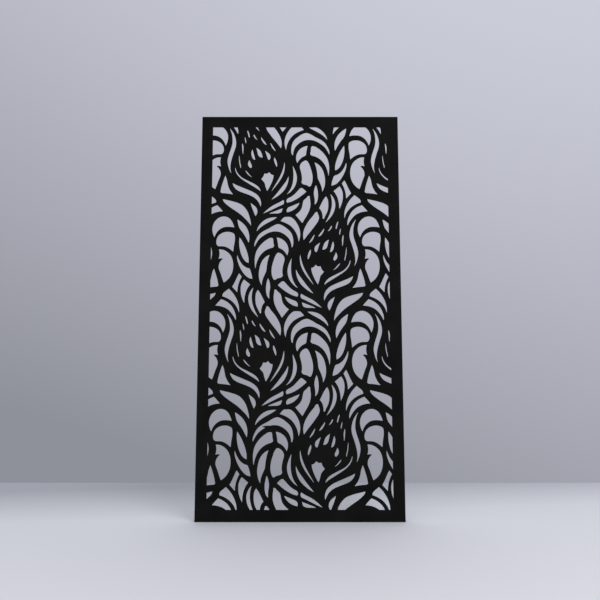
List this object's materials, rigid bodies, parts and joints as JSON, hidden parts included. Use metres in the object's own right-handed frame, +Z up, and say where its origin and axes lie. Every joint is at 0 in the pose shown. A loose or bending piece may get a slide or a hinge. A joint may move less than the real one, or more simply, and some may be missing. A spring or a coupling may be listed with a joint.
{
  "type": "laser-cut metal screen",
  "caption": "Tall flat metal screen, laser-cut through with a peacock-feather pattern inside a plain margin, on a hidden rear frame of mitred square tube.",
  "frame": {"origin": "middle of the screen's foot, on the floor, halfway through its depth", "axes": "+X across the screen to the right of a person who faces its cut front, +Y to its back, +Z up"},
  "size_m": [0.9, 0.028, 1.8],
  "materials": {
    "sheet": "matt black powder coat on laser-cut aluminium sheet",
    "tube": "matt black powder coat on extruded aluminium tube",
    "weld": "matt black powder coat over aluminium weld beads",
    "insert": "zinc-plated steel"
  },
  "bodies": {
    "root": {"screen_panel": "sheet", "left_stile": "tube", "right_stile": "tube", "top_rail": "tube", "bottom_rail": "tube", "corner_welds": "weld", "stitch_welds": "weld", "threaded_inserts": "insert"}
  },
  "joints": []
}
